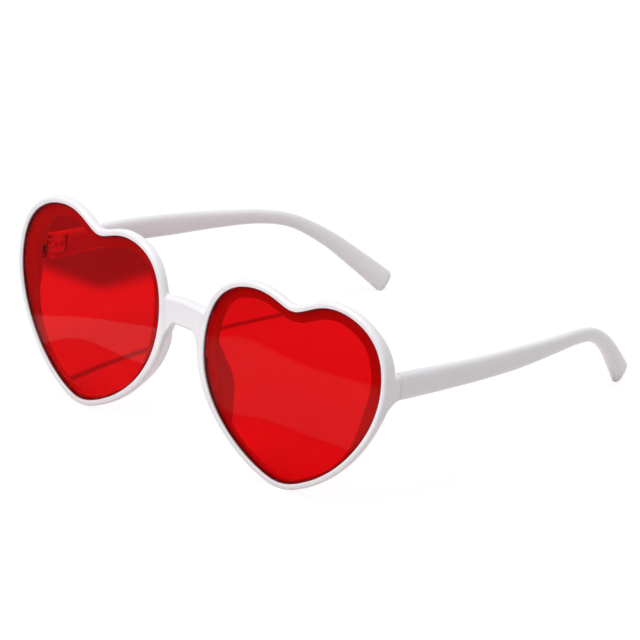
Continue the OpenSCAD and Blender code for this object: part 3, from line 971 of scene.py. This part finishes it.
# The line of painted shade: x is a sum of powers of y with these factors, and it starts at a y.
SHADE_LINE_BOW = (-0.0547, 0.0674, 1.6)
SHADE_LINE_DARK, SHADE_LINE_WIDE = 0.9, 0.0023
SHADE_LINE_START, SHADE_LINE_SOFT = -0.062, 0.004
FADE_FROM, FADE_TO = 0.5 * FLOOR_R, 0.95 * FLOOR_R


def floor_finish():
    finish = bpy.data.materials.new("table_white_and_painted_shade")
    finish.use_nodes = True
    tree = finish.node_tree
    tree.nodes.clear()
    spot = added(tree, "ShaderNodeTexCoord").outputs["Object"]
    parts = added(tree, "ShaderNodeSeparateXYZ", {0: spot})
    x, y = parts.outputs["X"], parts.outputs["Y"]
    # Painted shade for rays through a lens: a corner behind the pair and a thin, bowed line.
    left = ramp(tree, x, SHADE_CORNER_AT[0] + SHADE_CORNER_SOFT, SHADE_CORNER_AT[0] - SHADE_CORNER_SOFT)
    behind = ramp(tree, y, SHADE_CORNER_AT[1] - SHADE_CORNER_SOFT, SHADE_CORNER_AT[1] + SHADE_CORNER_SOFT)
    corner = worked(tree, "MULTIPLY", left, behind)
    bow = worked(tree, "ADD", worked(tree, "MULTIPLY", y, SHADE_LINE_BOW[2]), SHADE_LINE_BOW[1])
    line_at = worked(tree, "ADD", worked(tree, "MULTIPLY", y, bow), SHADE_LINE_BOW[0])
    aside = worked(tree, "ABSOLUTE", worked(tree, "SUBTRACT", x, line_at), 0)
    thin = worked(tree, "MULTIPLY", ramp(tree, aside, SHADE_LINE_WIDE, 0), SHADE_LINE_DARK)
    line = worked(tree, "MULTIPLY", thin, ramp(tree, y, SHADE_LINE_START - SHADE_LINE_SOFT, SHADE_LINE_START))
    shade = worked(tree, "MULTIPLY", worked(tree, "MAXIMUM", corner, line),
                   seen_by(tree, "Transmission"))
    # Where the shade is painted, the table's white turns to the tone of the painted shade.
    top = added(tree, "ShaderNodeMapRange", {
        "Value": shade, "To Min": TABLE_WHITE, "To Max": TABLE_SHADE})
    tone = added(tree, "ShaderNodeMix", {
        0: before_matt(tree), 6: (*TABLE_BOUNCE, 1), 7: top.outputs[0]}, data_type="RGBA")
    lit = added(tree, "ShaderNodeBsdfDiffuse", {"Color": tone.outputs[2]})
    white = added(tree, "ShaderNodeEmission", {"Strength": SHOWN_WHITE})
    share = added(tree, "ShaderNodeMath", {
        0: seen_by(tree, "Camera"), 1: FLOOR_WHITE_SHARE}, operation="MULTIPLY")
    table = added(tree, "ShaderNodeMixShader", {
        0: share.outputs[0], 1: lit.outputs[0], 2: white.outputs[0]})
    away = added(tree, "ShaderNodeVectorMath", {0: spot}, operation="LENGTH")
    fade = added(tree, "ShaderNodeMapRange", {
        "Value": away.outputs["Value"], "From Min": FADE_FROM, "From Max": FADE_TO},
        clamp=True)
    gone = added(tree, "ShaderNodeBsdfTransparent")
    faded = added(tree, "ShaderNodeMixShader", {
        0: fade.outputs[0], 1: table.outputs[0], 2: gone.outputs[0]})
    out = added(tree, "ShaderNodeOutputMaterial")
    tree.links.new(faded.outputs[0], out.inputs["Surface"])
    return finish


floor.data.materials.append(floor_finish())
print("the table's finish is", floor.data.materials[0].name)

# %% The surroundings
SKY_LIGHT = 0.41
world = bpy.data.worlds.new("studio")
bpy.context.scene.world = world
world.use_nodes = True
sky = world.node_tree
shown = added(sky, "ShaderNodeMapRange", {
    "Value": seen_by(sky, "Camera", "Glossy", "Transmission"), "To Min": SKY_LIGHT, "To Max": 1.0})
sky.links.new(shown.outputs[0], sky.nodes["Background"].inputs["Strength"])
sky.nodes["Background"].inputs["Color"].default_value = (1, 1, 1, 1)
bpy.context.scene.view_settings.view_transform = "Standard"
print("the sky gives", SKY_LIGHT, "of the light")


# %% Lamps
LAMP_AIM = Vector((0, -0.04, 0.03))


def lamp(name, place, size, level):
    """A square lamp that looks at the pair. Level is the white that it alone would give."""
    light = bpy.data.lights.new(name, "AREA")
    light.size = size
    away = Vector(place) - LAMP_AIM
    light.energy = level * math.pi ** 2 * away.length_squared
    stand = bpy.data.objects.new(name, light)
    bpy.context.scene.collection.objects.link(stand)
    turn = away.to_track_quat("Z", "Y").to_matrix().to_4x4()
    stand.matrix_world = Matrix.Translation(place) @ turn


lamp("front_lamp", (-0.3, -1.2, 0.85), 0.6, 0.39)
lamp("overhead_lamp", (0.1, -0.1, 1.25), 0.7, 0.57)

# %% [markdown]
# ## A glowing strip in front, for a painted reflection
# Each lens mirrors the table before it. There a glowing strip lies, which paints a reflection:
# it shows as a paler, wavy band in both lenses. Its outline was found by following rays
# from the camera to the edges of the bands, and from the lenses down to the table. Only
# reflections see it, so it neither lights the pair nor shows in the picture itself.

# %% Lay out the strip
STRIP_FAR = [
    (-106, -95), (-102.8, -99.8), (-100.7, -102.7), (-95.6, -113), (-90, -119.9),
    (-84.4, -124.9), (-76.4, -133.5), (-50, -152), (-33.4, -162.3), (-31.3, -165.4),
    (-27.6, -170.1), (-22.9, -171.1), (-16.6, -169.1), (-6.5, -165.2), (5.4, -162.1),
    (14, -162.5), (24.3, -162.4), (30.5, -162.8), (60, -163),
]
STRIP_NEAR = [
    (75, -110), (57.1, -110.3), (46.2, -111.3), (40, -112.5), (35.2, -114.2), (28, -113.6),
    (19.7, -116.1), (12.7, -116.8), (7.6, -115.1), (3.5, -113.4), (-2.1, -115.6),
    (-8.7, -117.8), (-30, -115), (-47.5, -112.2), (-55.1, -110.4), (-59.2, -108.9),
    (-68.4, -107.8), (-76.9, -106.4), (-80.4, -102.2), (-80.1, -92.1), (-78.7, -83),
]
# The strip's glow, which sets the painted reflection in the lenses, and its height in mm.
STRIP_LIGHT = 4.2
STRIP_RISE = 1
deselected()
strip_line = STRIP_FAR + STRIP_NEAR
bpy.ops.mesh.primitive_circle_add(vertices=len(strip_line), radius=0.1, fill_type="NGON")
strip = bpy.context.object
strip.name = strip.data.name = "painted_reflection_strip"
for v, (x, y) in zip(strip.data.vertices, strip_line):
    v.co = Vector((x, y, STRIP_RISE)) * MM
glow = bpy.data.materials.new("painted_reflection_glow")
glow.use_nodes = True
glow.node_tree.nodes.clear()
shine = added(glow.node_tree, "ShaderNodeEmission", {"Strength": STRIP_LIGHT})
added(glow.node_tree, "ShaderNodeOutputMaterial", {"Surface": shine.outputs[0]})
strip.data.materials.append(glow)
strip.visible_camera = strip.visible_diffuse = strip.visible_transmission = False
strip.visible_shadow = strip.visible_volume_scatter = False
print("the strip has", len(strip_line), "corners")

# %% [markdown]
# ## The camera
# The view was found by fitting a camera to both lens outlines and to both temples: it stands
# 1.27 m away, 37 degrees round to the wearer's left, 20 degrees up and rolled by 7 degrees,
# behind a long lens.

# %% Set up the camera
CAMERA_AWAY = 1272.72
CAMERA_AROUND, CAMERA_UP, CAMERA_ROLL = (math.radians(a) for a in (37.3868, 20.4271, 6.6137))
CAMERA_ASIDE, CAMERA_RAISED = -38.169, -8.2557
CAMERA_PIXELS, PICTURE_PIXELS, SENSOR = 4480.94, 640, 36
back = Vector((
    math.sin(CAMERA_AROUND) * math.cos(CAMERA_UP),
    -math.cos(CAMERA_AROUND) * math.cos(CAMERA_UP),
    math.sin(CAMERA_UP),
))
level = Vector((math.cos(CAMERA_AROUND), math.sin(CAMERA_AROUND), 0))
right = level * math.cos(CAMERA_ROLL) + back.cross(level) * math.sin(CAMERA_ROLL)
up = back.cross(right)
view = bpy.data.cameras.new("camera")
view.sensor_width = SENSOR
view.lens = CAMERA_PIXELS / PICTURE_PIXELS * SENSOR
view.clip_start, view.clip_end = 0.05, 20
camera = bpy.data.objects.new("camera", view)
bpy.context.scene.collection.objects.link(camera)
stand = placed(back * CAMERA_AWAY - right * CAMERA_ASIDE - up * CAMERA_RAISED)
turn = Matrix((right, up, back)).transposed().to_4x4()
camera.matrix_world = Matrix.Translation(stand) @ turn
bpy.context.scene.camera = camera
print("camera stands at", tuple(round(v, 3) for v in stand))
